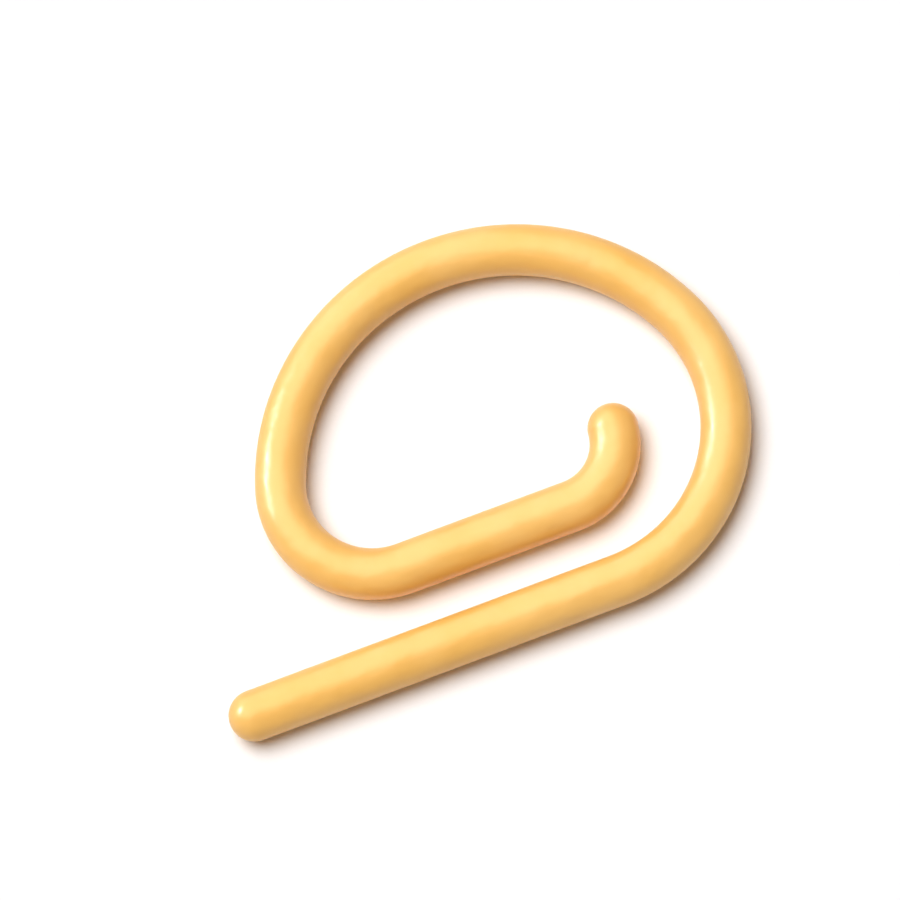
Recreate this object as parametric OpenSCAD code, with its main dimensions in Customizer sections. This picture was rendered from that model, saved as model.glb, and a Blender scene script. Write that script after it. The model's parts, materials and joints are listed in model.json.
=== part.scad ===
// Open stitch marker: one length of spring wire in a dipped nylon coat, bent in one plane.
// The wire runs from the tip of the outer leg round the heel, the crown and the toe,
// back along the inner leg, and ends in a small hook that points into the eye.
// Millimetres. The marker lies flat on z = 0, with the origin under the middle of its
// outline, +X along the legs towards the heel, and +Y from the legs towards the crown.

/* [Wire and coat] */
// Diameter of the bare spring wire
wire_d = 1.1; // [0.8:0.05:1.4]
// Thickness of the nylon coat all round the wire
coat_wall = 0.2; // [0.1:0.05:0.3]

/* [Legs] */
// Straight length of the outer leg, between the centre of its domed tip and the heel
leg_length = 11.25; // [10:0.05:14]
// Straight length of the inner leg, between the toe and the hook
inner_length = 5.15; // [3.5:0.05:6.2]
// Clear slot between the two legs, where the yarn slips in
slot_width = 1.05; // [0.6:0.05:1.6]

/* [Loop] */
// Centreline radius of the heel, the bend next to the outer leg
heel_r = 4.85; // [4:0.05:6]
// Angle that the heel turns
heel_angle = 116; // [100:1:125]
// Centreline radius of the crown, the large bend over the eye
crown_r = 6.8; // [5.6:0.05:8.2]
// Angle that the crown turns
crown_angle = 136; // [120:1:145]

/* [Hook] */
// Centreline radius of the hook at the end of the inner leg
hook_r = 1.95; // [1.2:0.05:2.4]
// Angle that the hook turns, up to the centre of its domed end
hook_angle = 84; // [50:1:100]

/* [Flex] */
// Clearance between the ball on the swinging side and the cup on the loop side
flex_gap = 0.05; // [0.03:0.01:0.1]

/* [Hidden] */
$fn = 96;
coat_colour = [0.96, 0.82, 0.50];
wire_r = wire_d / 2;
coat_r = wire_r + coat_wall;

// The outer leg swings about the place where the heel is farthest from the slot.
flex_angle = 90;

// The toe turns the wire through what is left of a full turn, so the legs are parallel.
// Its radius brings the inner leg back at the slot's width, to a ten-thousandth.
leg_pitch = 2 * coat_r + slot_width;
to_toe = heel_angle + crown_angle;
toe_angle = 360 - to_toe;
rise_to_toe = heel_r * (1 - cos(heel_angle)) + crown_r * (cos(heel_angle) - cos(to_toe));
toe_r = round(10000 * (rise_to_toe - leg_pitch) / (1 - cos(to_toe))) / 10000;

// From a bend's centre to the wire, where the wire heads at angle h
function out(h) = [sin(h), -cos(h)];

// Centres of the bends, measured from the centre of the outer leg's domed tip
heel_c = [leg_length, heel_r];
crown_c = heel_c + (heel_r - crown_r) * out(heel_angle);
toe_c = crown_c + (crown_r - toe_r) * out(to_toe);
inner_start = toe_c - [0, toe_r];
hook_c = inner_start + [inner_length, hook_r];
hook_tip = hook_c + hook_r * out(hook_angle);
flex = heel_c + heel_r * out(flex_angle);

// Middle of the marker's outline, and the lift that sets it on z = 0
middle = [(leg_length + heel_r) / 2, (crown_c[1] + crown_r) / 2];
origin = [-middle[0], -middle[1], coat_r];

// Moves to a place by a round step and then a fine one, so that faces meet exactly
module at(p) {
    coarse = [for (v = p) round(100 * v) / 100];
    translate(coarse) translate(p - coarse) children();
}

// Straight rod from p along +X
module straight(p, length, r) {
    at(p) rotate([0, 90, 0]) cylinder(r = r, h = length);
}

// Bent rod about the centre c, from heading h on through the angle
module bend(c, bend_r, h, angle, r) {
    at(c) rotate_extrude(start = h - 90, angle = angle) translate([bend_r, 0]) circle(r);
}

// Half ball on the end of a rod that heads at angle h
module dome(p, h, r) {
    at(p) rotate_extrude(start = h - 90, angle = 180) intersection() {
        circle(r);
        translate([0, -r]) square([r, 2 * r]);
    }
}

// Outer leg and its share of the heel, with a domed tip
module leg_rod(r) {
    dome([0, 0], 180, r);
    straight([0, 0], leg_length, r);
    bend(heel_c, heel_r, 0, flex_angle, r);
}

// Rest of the heel, crown, toe, inner leg and hook, with a domed end
module loop_rod(r) {
    bend(heel_c, heel_r, flex_angle, heel_angle - flex_angle, r);
    bend(crown_c, crown_r, heel_angle, crown_angle, r);
    bend(toe_c, toe_r, to_toe, toe_angle, r);
    straight(inner_start, inner_length, r);
    bend(hook_c, hook_r, 0, hook_angle, r);
    dome(hook_tip, hook_angle, r);
}

// Hollow ball end of the loop side, which the swinging side's ball turns in
module flex_cup() {
    at(flex) sphere(coat_r + flex_gap);
}

module leg_wire() {
    color("silver") translate(origin) {
        leg_rod(wire_r);
        // The wire runs on to the surface of the ball
        at(flex) rotate([-90, 0, 0]) rotate_extrude() intersection() {
            circle(coat_r);
            square([wire_r, coat_r]);
        }
    }
}

module leg_coat() {
    color(coat_colour) translate(origin) difference() {
        union() {
            leg_rod(coat_r);
            dome(flex, flex_angle, coat_r);
        }
        union() {
            leg_rod(wire_r);
            at(flex) rotate([-90, 0, 0]) cylinder(r = wire_r, h = 2 * coat_r);
        }
    }
}

module loop_wire() {
    color("silver") translate(origin) difference() {
        loop_rod(wire_r);
        flex_cup();
    }
}

module loop_coat() {
    color(coat_colour) translate(origin) difference() {
        loop_rod(coat_r);
        loop_rod(wire_r);
        flex_cup();
    }
}

loop_wire();
loop_coat();
leg_wire();
leg_coat();
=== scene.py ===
import json
from collections import namedtuple
from math import cos, pi, radians, sin

import bpy
from bpy.props import FloatProperty, FloatVectorProperty, IntProperty, PointerProperty
from bpy.types import Operator, Panel, PropertyGroup
from mathutils import Matrix, Vector


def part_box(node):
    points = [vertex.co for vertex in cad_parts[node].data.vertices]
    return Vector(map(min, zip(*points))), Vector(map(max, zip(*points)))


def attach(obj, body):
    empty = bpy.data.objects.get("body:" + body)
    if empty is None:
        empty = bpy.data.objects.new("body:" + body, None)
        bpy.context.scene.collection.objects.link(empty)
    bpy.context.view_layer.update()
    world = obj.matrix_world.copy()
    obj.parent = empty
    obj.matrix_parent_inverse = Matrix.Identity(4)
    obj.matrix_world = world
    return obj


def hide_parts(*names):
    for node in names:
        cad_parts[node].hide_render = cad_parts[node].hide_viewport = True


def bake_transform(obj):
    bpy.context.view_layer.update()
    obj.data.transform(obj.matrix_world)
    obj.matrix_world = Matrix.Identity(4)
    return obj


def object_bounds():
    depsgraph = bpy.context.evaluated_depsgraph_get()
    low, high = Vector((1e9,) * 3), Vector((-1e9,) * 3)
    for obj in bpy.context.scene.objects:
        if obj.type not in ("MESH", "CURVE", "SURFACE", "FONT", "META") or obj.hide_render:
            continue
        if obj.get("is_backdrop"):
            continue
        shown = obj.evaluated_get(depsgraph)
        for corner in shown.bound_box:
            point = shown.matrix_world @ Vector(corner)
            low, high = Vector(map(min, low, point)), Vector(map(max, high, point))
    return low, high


bl_info = {
    "name": "Open Stitch Marker",
    "version": (1, 0, 0),
    "blender": (4, 5, 0),
    "location": "3D View > Sidebar > Stitch Marker",
    "description": "Builds a nylon-coated spring-wire stitch marker round its packed frame",
    "category": "Add Mesh",
}

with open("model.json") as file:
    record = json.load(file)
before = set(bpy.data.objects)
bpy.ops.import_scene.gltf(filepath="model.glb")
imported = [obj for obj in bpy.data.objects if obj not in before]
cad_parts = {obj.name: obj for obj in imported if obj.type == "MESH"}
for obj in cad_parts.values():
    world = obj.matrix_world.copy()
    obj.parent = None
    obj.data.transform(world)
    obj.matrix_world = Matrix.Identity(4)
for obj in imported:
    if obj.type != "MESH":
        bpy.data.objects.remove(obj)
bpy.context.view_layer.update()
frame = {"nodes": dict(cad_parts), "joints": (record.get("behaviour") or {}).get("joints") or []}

# The frame gives the wire's own sizes: the radii of the wire and its coat, the outer leg's
# line and tip, the heel's bend up to the flex, the crown's height and the inner leg's line.
LEG_LOW, LEG_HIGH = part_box("leg_coat")
LOOP_LOW, LOOP_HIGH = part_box("loop_coat")
WIRE_LOW, WIRE_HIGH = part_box("leg_wire")
FLEX = Vector(frame["joints"][0]["pos_m"])
COAT_RADIUS = (LEG_HIGH.z - LEG_LOW.z) / 2
WIRE_RADIUS = (WIRE_HIGH.z - WIRE_LOW.z) / 2
LEG_LINE = LEG_LOW.y + COAT_RADIUS
LEG_TIP = LEG_LOW.x + COAT_RADIUS
HEEL_RADIUS = FLEX.y - LEG_LINE
CROWN_TOP = LOOP_HIGH.y - COAT_RADIUS
INNER_LINE = LOOP_LOW.y + COAT_RADIUS

MM = 0.001
UP = Vector((0, 0, 1))

# The coat's two slow waves: how far along the wire each takes for a radian, and the second
# one's share of the first and its start.
LONG_WAVE = 3.1 * MM
SHORT_WAVE = 1.7 * MM
SHORT_SHARE = 0.6
SHORT_START = 1.0
SLOPE_STEP = 0.02 * MM

# Coat radii from the wire's centre, just outside the coat, for a height at the end of the heel's piece.
# The height is worked out but not used, and nothing bends the heel.
FLEX_ROOM = 1.05

# Noise textures: features per metre, and depth of detail. The middle of a noise's range is
# what spreads over a finish.
CLOUD_NOISE = 420, 4
GLOSS_NOISE = 1500, 4
PEEL_NOISE = 1000, 2
MARKS_NOISE = 5000, 6
GRAIN_NOISE = 9000, 3
NOISE_MIDDLE = 0.25, 0.75

# The nylon: shares of its colour where it is pale and where it is deep, and its finish.
PALE_SHARES = 1.02, 1.05, 1.22
DEEP_SHARES = 0.98, 0.94, 0.80
NYLON_ROUGHNESS = 0.31, 0.42
NYLON_IOR = 1.5
PEEL_DEPTH = 0.07 * MM
PEEL_STRENGTH = 1.0

# The steel: the dark marks' share of its colour, and its finish.
MARK_SHARE = 0.8
STEEL_ROUGHNESS = 0.31, 0.42
MARK_DEPTH = 0.01 * MM
MARK_STRENGTH = 0.2

# The paper: greys of its grain, the same as shares of its gain, and its finish.
PAPER_GREYS = 0.88, 0.92
PAPER_SHARES = 0.98, 1.02
PAPER_ROUGHNESS = 0.85
FLOOR_HALF = 1.5
FLOOR_DROP = 0.01 * MM

# Ways to the lights in the picture's own axes, right, up and towards the eye, with their
# distances and sizes in metres.
KEY_WAY = -0.28, 0.17, 1.0
KEY_COLOUR = 0.98, 0.99, 1.0
SOFTBOX_WAY = -0.48, 0.42, 0.77
SOFTBOX_SIZE = 0.9, 1.15
STRIP_WAY = -0.86, 0.21, 0.46
STRIP_SIZE = 0.035, 0.13
LAMP_DISTANCE = 0.5
STRIP_DISTANCE = 0.4

SENSOR_MM = 36
CLIP_START = 0.01

Stretch = namedtuple("Stretch", "x y heading length curvature")


def away(heading):
    """Direction from a left bend's centre to the wire, where the wire runs at that heading."""
    return Vector((sin(heading), -cos(heading)))


def wire_route(shape):
    """The wire's stretches, from the centre of the outer leg's dome to that of the hook's."""
    heel = shape.heel_angle
    crown = shape.heel_angle + shape.crown_angle
    leg_end = FLEX.x - HEEL_RADIUS
    crown_radius = (CROWN_TOP - FLEX.y + HEEL_RADIUS * cos(heel)) / (1 + cos(heel))
    rise = HEEL_RADIUS * (1 - cos(heel)) + crown_radius * (cos(heel) - cos(crown))
    toe_radius = (rise - (INNER_LINE - LEG_LINE)) / (1 - cos(crown))
    steps = [
        (leg_end - LEG_TIP, 0),
        (HEEL_RADIUS * heel, 1 / HEEL_RADIUS),
        (crown_radius * shape.crown_angle, 1 / crown_radius),
        (toe_radius * (2 * pi - crown), 1 / toe_radius),
        (shape.inner_length, 0),
        (shape.hook_radius * shape.hook_angle, 1 / shape.hook_radius),
    ]
    route, x, y, heading = [], LEG_TIP, LEG_LINE, 0.0
    for length, curvature in steps:
        route.append(Stretch(x, y, heading, length, curvature))
        x, y, heading = along(route[-1], length)
    return route


def along(stretch, distance):
    """Place and heading on a stretch at that distance from its start."""
    x, y, heading = stretch.x, stretch.y, stretch.heading
    if stretch.curvature == 0:
        return x + distance * cos(heading), y + distance * sin(heading), heading
    turned = heading + distance * stretch.curvature
    step = (away(turned) - away(heading)) / stretch.curvature
    return x + step.x, y + step.y, turned


def on_route(route, distance):
    """Place and heading on the whole wire at that distance from the outer leg's dome."""
    for stretch in route[:-1]:
        if distance <= stretch.length:
            return along(stretch, distance)
        distance -= stretch.length
    return along(route[-1], distance)


def route_length(route):
    """Length of the whole wire, without its domes."""
    return sum(stretch.length for stretch in route)


def distance_at_heading(route, heading):
    """How far along the wire its heading reaches that angle."""
    distance = 0.0
    for stretch in route:
        turn = stretch.length * stretch.curvature
        if stretch.heading <= heading < stretch.heading + turn:
            return distance + (heading - stretch.heading) / stretch.curvature
        distance += stretch.length
    raise RuntimeError("the wire never runs at that heading")


class MarkerShape(PropertyGroup):
    """Sizes that the frame's boxes don't give, and how fine the coat's mesh is."""

    heel_angle: FloatProperty(
        name="Heel angle", description="How far the heel turns the wire",
        default=radians(116), min=radians(100), max=radians(125), subtype="ANGLE")
    crown_angle: FloatProperty(
        name="Crown angle", description="How far the crown turns the wire",
        default=radians(136), min=radians(120), max=radians(145), subtype="ANGLE")
    inner_length: FloatProperty(
        name="Inner leg", description="Straight length between the toe and the hook",
        default=5.15 * MM, min=3.5 * MM, max=6.2 * MM, unit="LENGTH", precision=5)
    hook_radius: FloatProperty(
        name="Hook radius", description="Centreline radius of the hook's bend",
        default=1.95 * MM, min=1.2 * MM, max=2.4 * MM, unit="LENGTH", precision=5)
    hook_angle: FloatProperty(
        name="Hook angle", description="How far the hook turns, up to the centre of its dome",
        default=radians(84), min=radians(50), max=radians(100), subtype="ANGLE")
    ripple: FloatProperty(
        name="Ripple", description="Slow waves in the coat's thickness, as a share of the radius",
        default=0.008, min=0.0, max=0.03, subtype="FACTOR")
    flex_end: FloatProperty(
        name="Flex end", description="Heading of the crown at which the flexing stretch ends",
        default=radians(150), min=radians(130), max=radians(175), subtype="ANGLE")
    sides: IntProperty(
        name="Sides", description="Points round the wire", default=56, min=16, max=96)
    ring_step: FloatProperty(
        name="Ring step", description="Distance between rings along the wire",
        default=0.11 * MM, min=0.05 * MM, max=0.5 * MM, unit="LENGTH", precision=5)


class MarkerFinish(PropertyGroup):
    """Colours of the marker."""

    coat: FloatVectorProperty(
        name="Coat", description="Colour of the nylon coat",
        default=(0.925, 0.525, 0.124), min=0.0, max=1.0, size=3, subtype="COLOR")
    wire: FloatVectorProperty(
        name="Wire", description="Colour of the steel wire",
        default=(0.56, 0.56, 0.58), min=0.0, max=1.0, size=3, subtype="COLOR")


def coat_radius(shape, distance):
    """The dipped coat's outer radius: even, with slow ripples."""
    waves = sin(distance / LONG_WAVE) + SHORT_SHARE * sin(distance / SHORT_WAVE + SHORT_START)
    return COAT_RADIUS * (1 + shape.ripple * waves / (1 + SHORT_SHARE))


def axes_at(route, distance):
    """The wire's foot on the floor, and the directions ahead and to the wire's right."""
    x, y, heading = on_route(route, distance)
    ahead = Vector((cos(heading), sin(heading), 0))
    return Vector((x, y, 0)), ahead, Vector((sin(heading), -cos(heading), 0))


def spokes(shape, side):
    """Directions from the wire's centre to the points round it."""
    turns = [2 * pi * i / shape.sides for i in range(shape.sides)]
    return [cos(turn) * side + sin(turn) * UP for turn in turns]


def skin_ring(shape, route, distance):
    """Points round the coat at a distance along the wire, with the way that each one faces."""
    foot, ahead, side = axes_at(route, distance)
    radius = coat_radius(shape, distance)
    growth = coat_radius(shape, distance + SLOPE_STEP) - coat_radius(shape, distance - SLOPE_STEP)
    slope = growth / (2 * SLOPE_STEP)
    centre = foot + UP * radius
    return [(centre + radius * spoke, (spoke - slope * ahead).normalized())
            for spoke in spokes(shape, side)]


def bore_ring(shape, route, distance):
    """Points round the wire's own surface, where the coat's inside lies on it."""
    foot, ahead, side = axes_at(route, distance)
    centre = foot + UP * COAT_RADIUS
    return [(centre + WIRE_RADIUS * spoke, -spoke) for spoke in spokes(shape, side)]


def dome(shape, route, distance, lift, radius, way, facing=1):
    """A half ball on the wire's end: rings from next to its rim to next to its pole, and the pole.

    Way is 1 at the wire's far end and -1 at its start, and facing is -1 for a dome seen from inside.
    """
    foot, ahead, side = axes_at(route, distance)
    centre = foot + UP * lift
    tip = way * ahead
    count = shape.sides // 4
    rings = []
    for i in range(1, count):
        climb = pi / 2 * i / count
        outward = [cos(climb) * spoke + sin(climb) * tip for spoke in spokes(shape, side)]
        rings.append([(centre + radius * out, facing * out) for out in outward])
    return rings, (centre + radius * tip, facing * tip)


class Sleeve:
    """Points and faces of one piece of coat, gathered ring by ring, with the way each corner faces."""

    def __init__(self, sides):
        self.sides = sides
        self.points = []
        self.faces = []
        self.facings = []

    def add(self, ring):
        """Adds a ring's points, and returns the place of the first and the way that each faces."""
        self.points.extend(point for point, facing in ring)
        return len(self.points) - len(ring), [facing for point, facing in ring]

    def face(self, corners, flip):
        """Adds a face, turned over if flip is set."""
        if flip:
            corners.reverse()
        self.faces.append([corner for corner, facing in corners])
        self.facings.extend(facing for corner, facing in corners)

    def band(self, first, second, flip=False):
        """Joins two rings."""
        (a, facing_a), (b, facing_b) = first, second
        for j in range(self.sides):
            k = (j + 1) % self.sides
            self.face([(b + j, facing_b[j]), (b + k, facing_b[k]),
                       (a + k, facing_a[k]), (a + j, facing_a[j])], flip)

    def close(self, last, rings, pole, flip):
        """Closes the sleeve from its last ring over a dome's rings to the dome's pole."""
        for ring in rings:
            added = self.add(ring)
            self.band(last, added, flip)
            last = added
        tip = len(self.points)
        self.points.append(pole[0])
        base, facings = last
        for j in range(self.sides):
            k = (j + 1) % self.sides
            self.face([(base + k, facings[k]), (base + j, facings[j]), (tip, pole[1])], flip)

    def mesh(self, name):
        """The gathered points and faces as a smooth mesh."""
        mesh = bpy.data.meshes.new(name)
        mesh.from_pydata([tuple(point) for point in self.points], [], self.faces)
        mesh.shade_smooth()
        mesh.normals_split_custom_set([tuple(facing) for facing in self.facings])
        return mesh


def add_object(name, data):
    """An object in the scene that holds this mesh, light or camera."""
    thing = bpy.data.objects.new(name, data)
    bpy.context.scene.collection.objects.link(thing)
    return thing


def coat_piece(name, shape, route, start, end, dome_start=False, dome_end=False):
    """A sleeve of coat on the wire from start to end, closed by a dome or a flat rim at each end."""
    count = max(2, round((end - start) / shape.ring_step))
    places = [start + (end - start) * i / count for i in range(count + 1)]
    sleeve = Sleeve(shape.sides)
    outer = [sleeve.add(skin_ring(shape, route, place)) for place in places]
    inner = [sleeve.add(bore_ring(shape, route, place)) for place in places]
    for i in range(count):
        sleeve.band(outer[i], outer[i + 1])
        sleeve.band(inner[i], inner[i + 1], flip=True)
    for domed, here, place, way in ((dome_start, 0, start, -1), (dome_end, count, end, 1)):
        flip = way < 0
        if domed:
            radius = coat_radius(shape, place)
            rings, pole = dome(shape, route, place, radius, radius, way)
            sleeve.close(outer[here], rings, pole, flip)
            rings, pole = dome(shape, route, place, COAT_RADIUS, WIRE_RADIUS, way, facing=-1)
            sleeve.close(inner[here], rings, pole, not flip)
        else:
            rim = [way * axes_at(route, place)[1]] * shape.sides
            sleeve.band((outer[here][0], rim), (inner[here][0], rim), flip)
    return add_object(name, sleeve.mesh(name))


def new_material(name):
    """An empty node material with its principled shader, ready to be wired."""
    material = bpy.data.materials.new(name)
    material.use_nodes = True
    tree = material.node_tree
    shader = next(node for node in tree.nodes if node.type == "BSDF_PRINCIPLED")
    return material, tree, shader


def object_place(tree):
    """The place on the object itself, so that a texture moves with its piece."""
    return tree.nodes.new("ShaderNodeTexCoord").outputs["Object"]


def noise(tree, kind, place):
    """A noise texture with that many features per metre and that depth of detail."""
    scale, detail = kind
    node = tree.nodes.new("ShaderNodeTexNoise")
    node.inputs["Scale"].default_value = scale
    node.inputs["Detail"].default_value = detail
    tree.links.new(place, node.inputs["Vector"])
    return node.outputs["Fac"]


def spread(tree, value, low, high):
    """Maps a noise's middle range onto low to high, with no kink at either end."""
    node = tree.nodes.new("ShaderNodeMapRange")
    node.interpolation_type = "SMOOTHSTEP"
    node.inputs["From Min"].default_value = NOISE_MIDDLE[0]
    node.inputs["From Max"].default_value = NOISE_MIDDLE[1]
    node.inputs["To Min"].default_value = low
    node.inputs["To Max"].default_value = high
    tree.links.new(value, node.inputs["Value"])
    return node.outputs["Result"]


def mixed(tree, factor, first, second):
    """The first colour where factor is 0 and the second where it is 1."""
    node = tree.nodes.new("ShaderNodeMix")
    node.data_type = "RGBA"
    node.inputs["A"].default_value = (*first, 1)
    node.inputs["B"].default_value = (*second, 1)
    tree.links.new(factor, node.inputs["Factor"])
    return node.outputs["Result"]


def bumped(tree, shader, height, strength, depth):
    """Raises the shader's surface by that height texture."""
    node = tree.nodes.new("ShaderNodeBump")
    node.inputs["Strength"].default_value = strength
    node.inputs["Distance"].default_value = depth
    tree.links.new(height, node.inputs["Height"])
    tree.links.new(node.outputs["Normal"], shader.inputs["Normal"])


def nylon_material(colour):
    """Dipped nylon: smooth and semi-gloss, faintly cloudy, with uneven gloss and a fine orange peel."""
    material, tree, shader = new_material("dipped_nylon")
    place = object_place(tree)
    cloud = spread(tree, noise(tree, CLOUD_NOISE, place), 0, 1)
    gloss = spread(tree, noise(tree, GLOSS_NOISE, place), *NYLON_ROUGHNESS)
    pale = [min(1, c * share) for c, share in zip(colour, PALE_SHARES)]
    deep = [c * share for c, share in zip(colour, DEEP_SHARES)]
    tree.links.new(mixed(tree, cloud, deep, pale), shader.inputs["Base Color"])
    tree.links.new(gloss, shader.inputs["Roughness"])
    bumped(tree, shader, noise(tree, PEEL_NOISE, place), PEEL_STRENGTH, PEEL_DEPTH)
    shader.inputs["IOR"].default_value = NYLON_IOR
    return material


def steel_material(colour):
    """Drawn spring wire: bright metal with fine uneven drawing marks."""
    material, tree, shader = new_material("drawn_steel")
    marks = noise(tree, MARKS_NOISE, object_place(tree))
    dark = [c * MARK_SHARE for c in colour]
    tree.links.new(mixed(tree, spread(tree, marks, 0, 1), dark, colour), shader.inputs["Base Color"])
    tree.links.new(spread(tree, marks, *STEEL_ROUGHNESS), shader.inputs["Roughness"])
    bumped(tree, shader, marks, MARK_STRENGTH, MARK_DEPTH)
    shader.inputs["Metallic"].default_value = 1.0
    return material


def material_for(name, build, colour):
    """The named material, built the first time that it is asked for."""
    return bpy.data.materials.get(name) or build(list(colour))


def coated(piece):
    """Gives a piece of coat the nylon finish."""
    finish = bpy.context.scene.marker_finish
    piece.data.materials.append(material_for("dipped_nylon", nylon_material, finish.coat))


class MARKER_OT_outer_leg(Operator):
    """Adds the coat of the outer leg, from its domed tip to the heel"""

    bl_idname = "marker.outer_leg"
    bl_label = "Outer leg"

    def execute(self, context):
        shape = context.scene.marker_shape
        route = wire_route(shape)
        piece = coat_piece("coat_outer_leg", shape, route, 0, route[0].length, dome_start=True)
        coated(piece)
        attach(piece, "leg")
        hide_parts("leg_coat")
        return {"FINISHED"}


class MARKER_OT_flex(Operator):
    """Adds the coat of the heel and the start of the crown, where the marker springs open. The piece is
    baked in place, and nothing here bends it
    """

    bl_idname = "marker.flex"
    bl_label = "Heel and flex"

    def execute(self, context):
        shape = context.scene.marker_shape
        route = wire_route(shape)
        start = route[0].length
        end = distance_at_heading(route, shape.flex_end)
        piece = coat_piece("coat_heel", shape, route, start, end)
        coated(piece)
        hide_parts("leg_coat", "loop_coat")
        high = on_route(route, end)[1] + COAT_RADIUS * FLEX_ROOM * cos(shape.flex_end)
        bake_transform(piece)
        return {"FINISHED"}


class MARKER_OT_loop(Operator):
    """Adds the coat of the crown, the toe, the inner leg and the hook"""

    bl_idname = "marker.loop"
    bl_label = "Crown, toe and hook"

    def execute(self, context):
        shape = context.scene.marker_shape
        route = wire_route(shape)
        start = distance_at_heading(route, shape.flex_end)
        piece = coat_piece("coat_loop", shape, route, start, route_length(route), dome_end=True)
        coated(piece)
        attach(piece, "loop")
        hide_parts("loop_coat")
        return {"FINISHED"}


class MARKER_OT_wire(Operator):
    """Gives the steel wire inside the coat its finish"""

    bl_idname = "marker.wire"
    bl_label = "Steel wire"

    def execute(self, context):
        finish = context.scene.marker_finish
        steel = material_for("drawn_steel", steel_material, finish.wire)
        for name in ("loop_wire", "leg_wire"):
            slots = frame["nodes"][name].material_slots
            if not slots:
                raise RuntimeError(f"{name} has no material slot")
            for slot in slots:
                slot.material = steel
        return {"FINISHED"}


def aim(thing, direction, distance, target, up):
    """Puts a lamp or camera at a distance from the target in a direction, looking at it."""
    back = direction.normalized()
    right = up.cross(back).normalized()
    thing.location = target + back * distance
    thing.rotation_euler = Matrix((right, back.cross(right), back)).transposed().to_euler()


class StageLook(PropertyGroup):
    """Where the light comes from and how the marker is framed."""

    turn: FloatProperty(
        name="Turn", description="How far the outer leg climbs from the picture's lower edge",
        default=radians(20.25), subtype="ANGLE")
    view_tilt: FloatProperty(
        name="View tilt",
        description="Camera's lean from straight above, towards the picture's lower edge",
        default=radians(13.5), min=0.0, max=radians(80), subtype="ANGLE")
    view_side: FloatProperty(
        name="View side", description="Camera's lean towards the picture's right edge",
        default=radians(3.1), subtype="ANGLE")
    view_distance: FloatProperty(
        name="View distance", description="Distance from the camera to the marker",
        default=0.39, min=0.1, unit="LENGTH")
    view_width: FloatProperty(
        name="View width", description="Width that the picture takes in at the marker",
        default=0.0262, min=0.01, unit="LENGTH")
    key_strength: FloatProperty(
        name="Key strength", description="Strength of the wide light from the upper left",
        default=3.28, min=0.0, max=10.0)
    key_size: FloatProperty(
        name="Key size", description="How wide the key looks from the marker",
        default=radians(42), min=0.0, max=radians(120), subtype="ANGLE")
    softbox_power: FloatProperty(
        name="Softbox power", description="Power of the large softbox that the coat reflects",
        default=10.0, min=0.0, max=40.0, unit="POWER")
    strip_power: FloatProperty(
        name="Strip power", description="Power of the low strip that the coat reflects",
        default=1.5, min=0.0, max=5.0, unit="POWER")
    fill: FloatVectorProperty(
        name="Fill", description="Colour of the light from all round",
        default=(1.0, 0.72, 0.64), min=0.0, max=1.0, size=3, subtype="COLOR")
    fill_strength: FloatProperty(
        name="Fill strength", description="Strength of the light from all round",
        default=0.15, min=0.0, max=2.0)
    paper: FloatProperty(
        name="Paper gain", description="How bright the paper looks, as a share of the light on it",
        default=0.94, min=0.5, max=2.0)


def picture_to_frame(stage, x, y, z):
    """Turns a direction in the picture's own axes, right, up and towards the eye, into the frame's."""
    return Matrix.Rotation(-stage.turn, 3, "Z") @ Vector((x, y, z))


def seen_directly(tree):
    """1 for rays from the camera, a reflection or a clear material, and 0 for light that falls."""
    path = tree.nodes.new("ShaderNodeLightPath")
    seen = path.outputs["Is Camera Ray"]
    for ray in ("Is Glossy Ray", "Is Transmission Ray"):
        either = tree.nodes.new("ShaderNodeMath")
        either.operation = "MAXIMUM"
        tree.links.new(seen, either.inputs[0])
        tree.links.new(path.outputs[ray], either.inputs[1])
        seen = either.outputs[0]
    return seen


def pick_by_ray(tree, falling, seen):
    """Sends one shader to the output for light that falls, and the other where it is seen."""
    pick = tree.nodes.new("ShaderNodeMixShader")
    tree.links.new(seen_directly(tree), pick.inputs["Fac"])
    tree.links.new(falling.outputs[0], pick.inputs[1])
    tree.links.new(seen.outputs[0], pick.inputs[2])
    output = next(node for node in tree.nodes if node.type.startswith("OUTPUT"))
    tree.links.new(pick.outputs[0], output.inputs["Surface"])


def paper_material(gain):
    """White paper that looks brighter than the light it gives back, so only real shadow shows."""
    material, tree, shader = new_material("white_paper")
    grain = noise(tree, GRAIN_NOISE, object_place(tree))
    low, high = ((grey,) * 3 for grey in PAPER_GREYS)
    tree.links.new(mixed(tree, grain, low, high), shader.inputs["Base Color"])
    shader.inputs["Roughness"].default_value = PAPER_ROUGHNESS
    seen = tree.nodes.new("ShaderNodeBsdfDiffuse")
    low, high = ((gain * share,) * 3 for share in PAPER_SHARES)
    tree.links.new(mixed(tree, grain, low, high), seen.inputs["Color"])
    pick_by_ray(tree, shader, seen)
    return material


def studio_world(colour, strength):
    """Soft warm light from all round, which looks white where it is seen."""
    world = bpy.data.worlds.new("studio")
    world.use_nodes = True
    tree = world.node_tree
    fill = next(node for node in tree.nodes if node.type == "BACKGROUND")
    fill.inputs["Color"].default_value = (*colour, 1)
    fill.inputs["Strength"].default_value = strength
    white = tree.nodes.new("ShaderNodeBackground")
    white.inputs["Color"].default_value = (1, 1, 1, 1)
    white.inputs["Strength"].default_value = 1.0
    pick_by_ray(tree, fill, white)
    return world


def paper_floor(gain):
    """A wide sheet of white paper, just under the marker."""
    half = FLOOR_HALF
    corners = [(-half, -half, 0), (half, -half, 0), (half, half, 0), (-half, half, 0)]
    mesh = bpy.data.meshes.new("floor")
    mesh.from_pydata(corners, [], [(0, 1, 2, 3)])
    mesh.materials.append(paper_material(gain))
    floor = add_object("floor", mesh)
    floor.location.z = -FLOOR_DROP
    return floor


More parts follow.
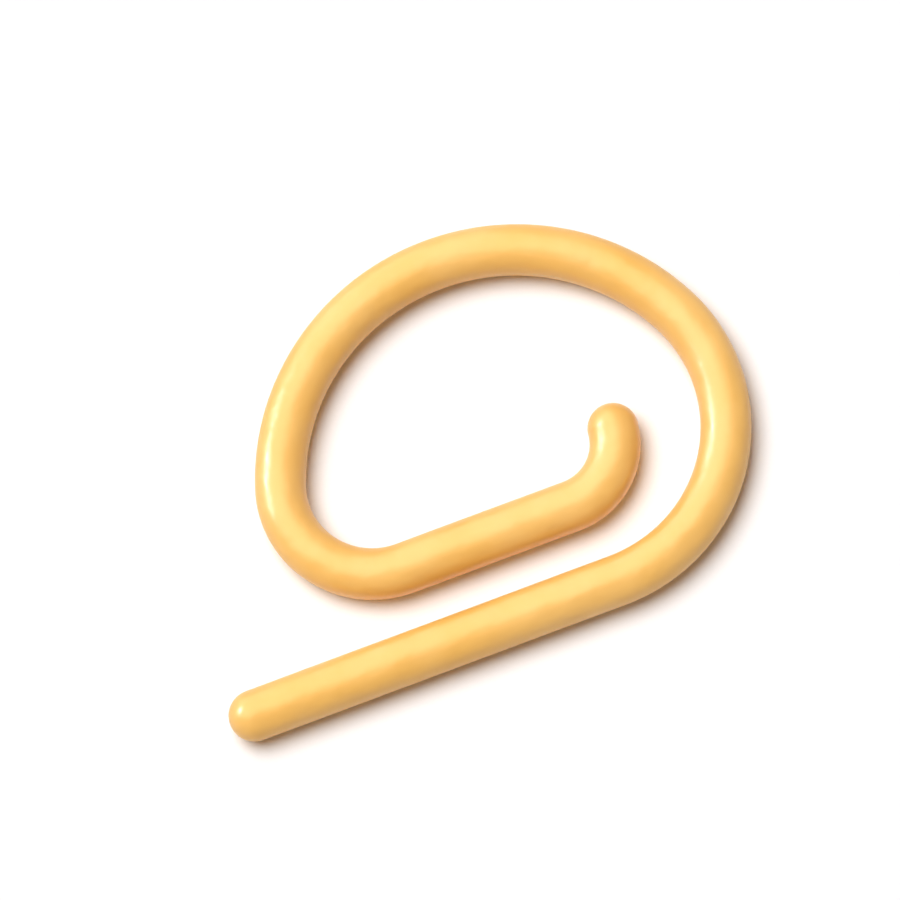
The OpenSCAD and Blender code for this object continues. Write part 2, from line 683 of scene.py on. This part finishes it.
def key_light(stage):
    """The wide sun that lights the marker. The coat's streaks come from the panels and not from it."""
    sun = bpy.data.lights.new("key", "SUN")
    sun.energy = stage.key_strength
    sun.angle = stage.key_size
    sun.color = KEY_COLOUR
    lamp = add_object("key", sun)
    lamp.visible_glossy = False
    lamp.visible_camera = False
    aim(lamp, picture_to_frame(stage, *KEY_WAY), LAMP_DISTANCE, Vector(), Vector((0, 1, 0)))


def light_panel(name, power, size, direction, distance, up):
    """A flat panel that only shows as a streak on what is glossy."""
    panel = bpy.data.lights.new(name, "AREA")
    panel.shape = "RECTANGLE"
    panel.size, panel.size_y = size
    panel.energy = power
    lamp = add_object(name, panel)
    lamp.visible_diffuse = False
    lamp.visible_camera = False
    aim(lamp, direction, distance, Vector(), up)


def photo_camera(stage):
    """A camera at the photograph's viewing angle, centred on the marker."""
    low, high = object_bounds()
    camera = bpy.data.cameras.new("camera")
    camera.sensor_width = SENSOR_MM
    camera.lens = SENSOR_MM * stage.view_distance / stage.view_width
    camera.clip_start = CLIP_START
    eye = add_object("camera", camera)
    back = picture_to_frame(stage, sin(stage.view_side), -sin(stage.view_tilt), cos(stage.view_tilt))
    aim(eye, back, stage.view_distance, (low + high) / 2, picture_to_frame(stage, 0, 1, 0))
    return eye


class MARKER_OT_stage(Operator):
    """Adds the floor, the lights and the camera"""

    bl_idname = "marker.stage"
    bl_label = "Stage"

    def execute(self, context):
        scene = context.scene
        stage = scene.marker_stage
        floor = paper_floor(stage.paper)
        floor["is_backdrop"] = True
        key_light(stage)
        light_panel("softbox", stage.softbox_power, SOFTBOX_SIZE, picture_to_frame(stage, *SOFTBOX_WAY),
                    LAMP_DISTANCE, picture_to_frame(stage, 0, 0, 1))
        light_panel("strip", stage.strip_power, STRIP_SIZE, picture_to_frame(stage, *STRIP_WAY),
                    STRIP_DISTANCE, picture_to_frame(stage, 0, 1, 0))
        scene.world = studio_world(stage.fill, stage.fill_strength)
        scene.camera = photo_camera(stage)
        scene.view_settings.view_transform = "Standard"
        return {"FINISHED"}


class MARKER_PT_panel(Panel):
    """Lists the marker's pieces in the sidebar"""

    bl_label = "Stitch Marker"
    bl_space_type = "VIEW_3D"
    bl_region_type = "UI"
    bl_category = "Stitch Marker"

    def draw(self, context):
        scene = context.scene
        for group in (scene.marker_shape, scene.marker_finish, scene.marker_stage):
            box = self.layout.box()
            for name in group.__annotations__:
                box.prop(group, name)
        for operator in PIECES:
            self.layout.operator(operator.bl_idname)


PIECES = (MARKER_OT_wire, MARKER_OT_outer_leg, MARKER_OT_flex, MARKER_OT_loop, MARKER_OT_stage)
CLASSES = (MarkerShape, MarkerFinish, StageLook, *PIECES, MARKER_PT_panel)


def register():
    for cls in CLASSES:
        bpy.utils.register_class(cls)
    bpy.types.Scene.marker_shape = PointerProperty(type=MarkerShape)
    bpy.types.Scene.marker_finish = PointerProperty(type=MarkerFinish)
    bpy.types.Scene.marker_stage = PointerProperty(type=StageLook)


def unregister():
    del bpy.types.Scene.marker_stage
    del bpy.types.Scene.marker_finish
    del bpy.types.Scene.marker_shape
    for cls in reversed(CLASSES):
        bpy.utils.unregister_class(cls)


def main():
    register()
    bpy.ops.marker.wire()
    bpy.ops.marker.outer_leg()
    bpy.ops.marker.flex()
    bpy.ops.marker.loop()
    bpy.ops.marker.stage()


if __name__ == "__main__":
    main()
